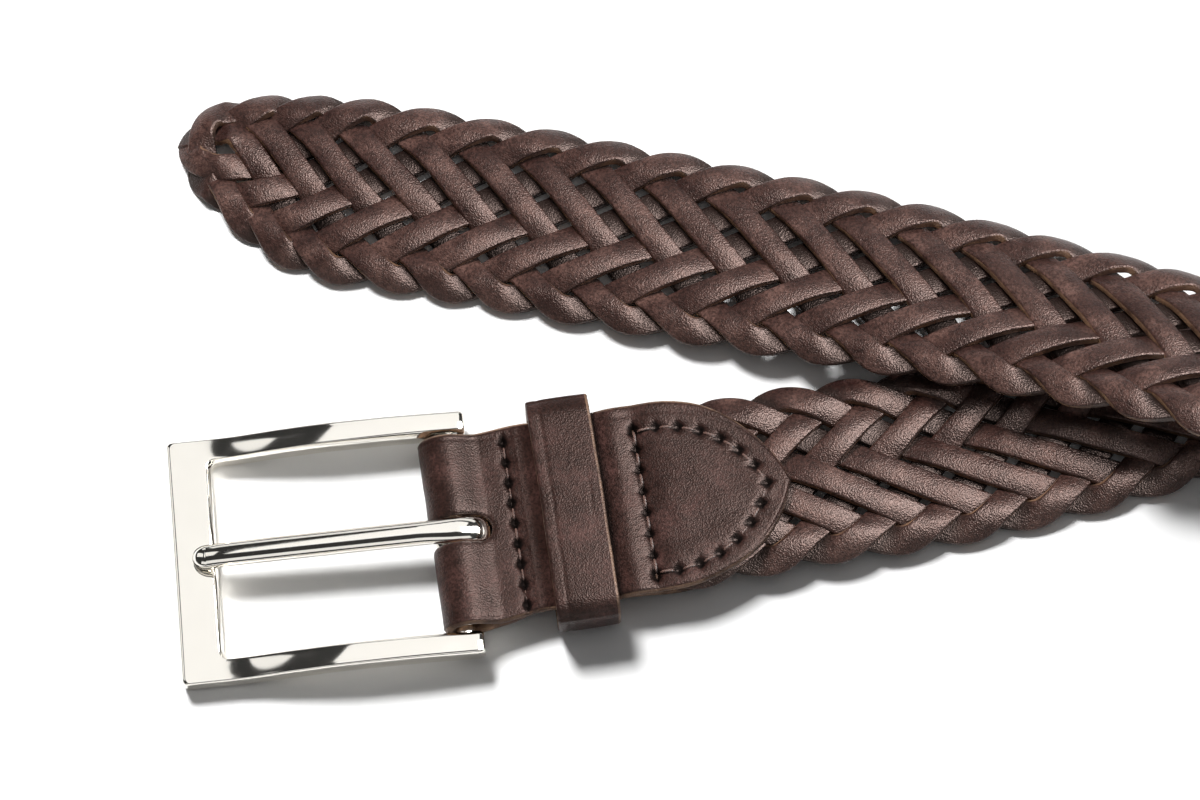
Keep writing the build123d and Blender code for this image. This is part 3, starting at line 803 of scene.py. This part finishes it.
# ---- Keeper ----
def keeper():
    """A closed band of leather: a crowned section with burnished edges carried round a rounded
    rectangle across the strap."""
    half_u = KEEPER_HALF - KEEPER_WALL / 2
    half_w = (KEEPER_HIGH - KEEPER_LOW - KEEPER_WALL) / 2
    middle_w = (KEEPER_HIGH + KEEPER_LOW) / 2
    turn = np.linspace(0, math.pi / 2, 13)
    signs = [(1, 1), (-1, 1), (-1, -1), (1, -1)]
    path, normals = [], []
    for quarter, sign in enumerate(signs):
        # A rounded corner, then the straight run to where the next corner starts
        angle = quarter * math.pi / 2 + turn
        outwards = np.stack([np.cos(angle), np.sin(angle)], -1)
        corner = np.array(sign) * (np.array([half_u, half_w]) - KEEPER_CORNER)
        onward = np.array(signs[(quarter + 1) % 4]) * (np.array([half_u, half_w]) - KEEPER_CORNER)
        arc = corner + KEEPER_CORNER * outwards
        steps = np.linspace(0, 1, 72 if quarter in (0, 2) else 10)[1:-1, None]
        path += [arc, arc[-1] + (onward + KEEPER_CORNER * outwards[-1] - arc[-1]) * steps]
        normals += [outwards, np.repeat(outwards[-1:], len(steps), axis=0)]
    path, normals = np.concatenate(path), np.concatenate(normals)
    across, height, kind = rounded_section(KEEPER_WIDTH / 2, KEEPER_WALL / 2, 0.45, 0.3, 0.10, count=40)
    kind = np.where(across > KEEPER_WIDTH / 2 - 0.48, 1.0, kind)
    upper = (height > 0)[None, :]
    crease = -0.09 * bump(across, -KEEPER_WIDTH / 2 + 2.1, 0.38)[None, :] * upper
    short = bump(path[:, 0:1], 1.0, 5.0)
    far_crease = -0.07 * bump(across, KEEPER_WIDTH / 2 - 2.3, 0.3)[None, :] * upper * short
    height = height[None, :] + crease + far_crease
    top = (normals[:, 1:2] > 0.5)
    bow = 0.35 * np.cos(path[:, 0:1] / half_u * math.pi / 2) * top
    skew = 0.004 * path[:, 0:1]
    s = KEEPER_S + across[None, :] + skew + wander(path[:, 0:1], 0.08, 18.0, 5)
    u = KEEPER_SHIFT_U + path[:, 0:1] + normals[:, 0:1] * height
    w = middle_w + path[:, 1:2] + normals[:, 1:2] * height - 0.35 * top + bow
    rows, columns = s.shape
    last = (rows - 1) * columns
    closing = [[last + j, last + (j + 1) % columns, (j + 1) % columns, j] for j in range(columns)]
    marks = {"kind": np.broadcast_to(kind, s.shape).ravel(), "hole_shade": np.zeros(rows * columns)}
    add_piece("keeper_loop", chape_points(s, u, w).reshape(-1, 3),
              np.concatenate([grid_faces(rows, columns), closing]), "keeper", "keeper",
              CHAPE_LEATHER, marks=marks)


keeper()


def keeper_thread():
    """Two cross stitches over the butted ends under the strap."""
    stitches = []
    for offset in (-3.0, 3.0):
        a, b = (np.array([KEEPER_S + offset, KEEPER_SHIFT_U + side * KEEPER_STITCH_HALF])
                for side in (-1, 1))
        s, u, w, uv = capsule(a, b, 0, 0, KEEPER_THREAD_R)
        stitches.append((chape_points(s, u, KEEPER_LOW + 0.1 - w), uv))
    add_stitches("keeper_thread", stitches, "keeper", "keeper_stitches")


keeper_thread()


# ---- Buckle ----
FRAME_FRONT = -50.6
FRAME_BACK = 3.1
FRAME_HALF = 22.5
WINDOW_HALF = 18.2
WINDOW_FRONT = -43.0
FRAME_COUNTS = (90, 16, 60)
END_ROUND = 0.9
PRONG_TIP_X = -44.4
PRONG_RING_X, PRONG_RING_Z = 4.6, 3.3
PRONG_HALF_WIDE, PRONG_HALF_THICK = 2.2, 1.85
PRONG_SQUARENESS = 0.95


def u_curve(front, half, radius):
    """The plan of a U, from the far rail's end round the front bar to the near rail's end, as straight
    stretches and two quarter circles with set numbers of points."""
    rail, corner, bar = FRAME_COUNTS
    turn = np.linspace(0, math.pi / 2, corner)
    far_x = np.linspace(FRAME_BACK, front + radius, rail)
    far = np.stack([far_x, np.full(rail, half)], -1)
    first = np.stack([front + radius - radius * np.sin(turn), half - radius + radius * np.cos(turn)], -1)
    middle_y = np.linspace(half - radius, radius - half, bar)
    middle = np.stack([np.full(bar, front), middle_y], -1)
    curve = np.concatenate([far, first[1:-1], middle])
    back = curve[:len(far) + corner - 2][::-1] * np.array([1, -1])
    return np.concatenate([curve, back])


def frame_height(x):
    """The casting's middle height and half thickness along its length: low and level at the front bar,
    rising along the rails to their crest and easing down to the bar."""
    knots_mid = [(-51, -2.6), (-43, -2.5), (-40, -2.35), (-30, -0.65), (-20, 0.45), (-12, 0.55),
                 (3.2, -0.25)]
    knots_half = [(-51, 2.1), (-43, 2.15), (-30, 2.3), (-15, 2.4), (3.2, 2.5)]
    return through(knots_mid, x), through(knots_half, x)


def buckle_frame():
    """The casting: a flat-topped, chamfered section spanned between the inner and the outer U at every
    station, with squared rail ends."""
    inner = u_curve(WINDOW_FRONT, WINDOW_HALF, 1.7)
    outer = u_curve(FRAME_FRONT, FRAME_HALF, 0.9)
    # The section: the inner wall and chamfer, the face, the outer edge and wall, and the back. Places
    # are mm in from the inner edge, parts of the way between the chamfers, or mm in from the outer edge
    wall_in, wall_z = [0, 0, .03, .1, .42, .76, .86, 1.0], [.3, .5, .57, .62, .80, .965, .99, 1.0]
    face = np.linspace(0, 1, 11)[1:-1]
    rim_in = [.75, .6, .45, .3, .17, .07, .01, 0, 0, 0, .05, .16, .35, .6]
    rim_z = [1.0, 1.0, .985, .955, .90, .82, .72, .6, 0, -.75, -.86, -.95, -1, -1]
    back_in, back_z = [.6, .35, .16, .05, 0, 0], [-1, -1, -.95, -.86, -.75, 0]
    span = np.linalg.norm(outer - inner, axis=1)[:, None]
    from_inner = np.array(wall_in)[None, :] / span
    from_outer = 1 - np.array(rim_in)[None, :] / span
    at_back = np.array(back_in)[None, :] / span
    across_face = from_inner[:, -1:] + (from_outer[:, :1] - from_inner[:, -1:]) * face[None, :]
    part = np.concatenate([from_inner, across_face, from_outer, at_back], axis=1)
    z = np.concatenate([wall_z, np.ones(len(face)), rim_z, back_z])
    crown = np.concatenate([np.zeros(len(wall_z)), 1 - (2 * face - 1) ** 2,
                            np.zeros(len(rim_z) + len(back_z))])
    plan = inner[:, None, :] + (outer - inner)[:, None, :] * part[..., None]
    mid, half = frame_height(plan[..., 0])
    # The prong's seat: a shallow round notch in the front bar's inner edge
    seat = 0.9 * bump(plan[..., 1], 0, 2.2) * smooth(plan[..., 0], -47.2, -43.4) * (plan[..., 0] < -30)
    rail = smooth(plan[..., 0], -44, -34)
    height = mid + half * z[None, :] - seat * (z > 0.3)[None, :] + 0.12 * rail * crown[None, :]
    x, y = plan[..., 0], plan[..., 1]
    end = np.clip((x - (FRAME_BACK - END_ROUND)) / END_ROUND, 0, 1)
    shrink = 1 - 0.16 * end ** 2
    centre_y = np.sign(y) * (FRAME_HALF + WINDOW_HALF) / 2
    y = np.where(end > 0, centre_y + (y - centre_y) * shrink, y)
    height = np.where(end > 0, mid + (height - mid) * shrink, height)
    points, faces = closed_tube(buckle_points(x, y, height))
    add_piece("cast_buckle_frame", points, faces, "buckle", "buckle_frame", NICKEL)


def prong():
    """A flattened rod carried from its root, bent round the bar, over the front bar to a tip that
    dips and rounds off."""
    turn = np.radians(np.linspace(-150, 90, 60))
    ring_x, ring_z = PRONG_RING_X * np.cos(turn), PRONG_RING_Z * np.sin(turn)
    rod_x = np.linspace(0, PRONG_TIP_X, 150)[1:]
    knots = [(-46.5, 0.3), (-44.5, 1.1), (-41.5, 1.75), (-36, 2.1), (-20, 2.75), (-6, 3.15),
             (1, PRONG_RING_Z)]
    rod_z = through(knots, rod_x)
    x, z = np.concatenate([ring_x, rod_x]), np.concatenate([ring_z, rod_z])
    tip = np.linspace(0, 1, 14)[1:]
    x = np.concatenate([x, PRONG_TIP_X - 1.9 * np.sin(tip * math.pi / 2)])
    z = np.concatenate([z, rod_z[-1] - 1.1 * (1 - np.cos(tip * math.pi / 2))])
    size = np.concatenate([np.ones(len(ring_x) + len(rod_x)), np.sqrt(np.maximum(1 - tip ** 2, 0.0004))])
    dx, dz = np.gradient(x), np.gradient(z)
    norm = np.hypot(dx, dz)
    nx, nz = dz / norm, -dx / norm
    along = np.concatenate([[0], np.cumsum(np.hypot(np.diff(x), np.diff(z)))])
    ring_part = 1 - smooth(along, along[len(ring_x) - 1] - 1.0, along[len(ring_x) - 1] + 7.0)
    half_wide = (PRONG_HALF_WIDE + 0.15 * ring_part) * size
    half_thick = (PRONG_HALF_THICK - 0.4 * ring_part) * size
    start_round = smooth(along, 0, 1.4) * 0.9 + 0.1
    half_wide, half_thick = half_wide * start_round, half_thick * start_round
    around = np.linspace(0, 2 * math.pi, 36, endpoint=False)
    wide, thick = (np.sign(v) * np.abs(v) ** PRONG_SQUARENESS for v in (np.cos(around), np.sin(around)))
    y = half_wide[:, None] * wide[None, :]
    out = half_thick[:, None] * thick[None, :]
    points, faces = closed_tube(buckle_points(x[:, None] + nx[:, None] * out, y,
                                              z[:, None] + nz[:, None] * out))
    add_piece("bent_prong", points, faces, "prong", "prong", NICKEL)


buckle_frame()
prong()
bar_mesh = frame["nodes"]["buckle_bar"].data
bar_mesh.materials.clear()
bar_mesh.materials.append(NICKEL)


# ---- Floor, light and camera ----
# The middle of the view on the floor, from the bar, in metres
AIM = BAR * MM + np.array([0.0255, 0.0268, -BAR[2] * MM])
LENS_MM = 110
SENSOR_MM = 36
VIEW_WIDTH_M = 0.2182
LOOK_DOWN = math.radians(72)
# Tilt from straight up, degrees anticlockwise from +X, distance in metres, size in metres, radiance.
# The key, behind and left, draws the shadows and the fill softens them; neither shows as a reflection
SHADOW_LIGHTS = {"key": (36, 118, 1.1, (0.26, 0.26), 86), "fill": (6, 90, 1.3, (2.0, 2.0), 0.25)}
# These show only in the nickel and in the waxed leather
REFLECTED_LIGHTS = {
    "overhead": (20, 78, 0.9, (0.6, 0.95), 1.1), "right": (42, 6, 0.9, (0.45, 1.0), 22),
    "left": (52, 165, 0.9, (0.35, 0.7), 1.0), "front": (58, 268, 0.9, (1.3, 0.45), 0.9),
    "back": (68, 86, 0.9, (1.3, 0.35), 0.9)}


def floor():
    """A pale seamless sheet of card."""
    material, tree, shader = new_material("white card")
    shader.inputs["Base Color"].default_value = linear("f6f6f6")
    shader.inputs["Roughness"].default_value = 0.9
    shader.inputs["Specular IOR Level"].default_value = 0.1
    mesh = bpy.data.meshes.new("floor")
    mesh.from_pydata([(-3, -3, 0), (3, -3, 0), (3, 3, 0), (-3, 3, 0)], [], [(0, 1, 2, 3)])
    mesh.materials.append(material)
    sheet = bpy.data.objects.new("floor", mesh)
    bpy.context.scene.collection.objects.link(sheet)


def softbox(name, tilt, turned, distance, size, radiance, reflected):
    """A rectangular light that faces the buckle end from a direction. Its radiance is in units of the
    white card's brightness."""
    light = bpy.data.lights.new(name, "AREA")
    light.shape = "RECTANGLE"
    light.size, light.size_y = size
    light.energy = radiance * math.pi * size[0] * size[1]
    lamp = bpy.data.objects.new(name, light)
    bpy.context.scene.collection.objects.link(lamp)
    a, b = math.radians(tilt), math.radians(turned)
    away = Vector((math.sin(a) * math.cos(b), math.sin(a) * math.sin(b), math.cos(a)))
    lamp.location = Vector((AIM[0], AIM[1], BAR[2] * MM)) + away * distance
    lamp.rotation_euler = away.to_track_quat("Z", "Y").to_euler()
    lamp.visible_diffuse = not reflected
    lamp.visible_glossy = reflected


def studio():
    """The softboxes and a dim room."""
    for lights, reflected in ((SHADOW_LIGHTS, False), (REFLECTED_LIGHTS, True)):
        for name, setting in lights.items():
            softbox(name, *setting, reflected)
    world = bpy.data.worlds.new("studio")
    world.use_nodes = True
    background = world.node_tree.nodes["Background"]
    background.inputs[0].default_value = (1, 1, 1, 1)
    background.inputs[1].default_value = 0.035
    bpy.context.scene.world = world
    bpy.context.scene.view_settings.view_transform = "Standard"


def camera():
    """A long lens that looks down steeply along +Y, far enough off to take in the view's width."""
    data = bpy.data.cameras.new("camera")
    data.lens = LENS_MM
    data.sensor_width = SENSOR_MM
    data.clip_start, data.clip_end = 0.01, 20
    distance = VIEW_WIDTH_M * LENS_MM / SENSOR_MM
    eye = bpy.data.objects.new("camera", data)
    bpy.context.scene.collection.objects.link(eye)
    eye.location = (AIM[0], AIM[1] - distance * math.cos(LOOK_DOWN),
                    AIM[2] + distance * math.sin(LOOK_DOWN))
    eye.rotation_euler = (math.pi / 2 - LOOK_DOWN, 0, 0)
    bpy.context.scene.camera = eye


floor()
studio()
camera()
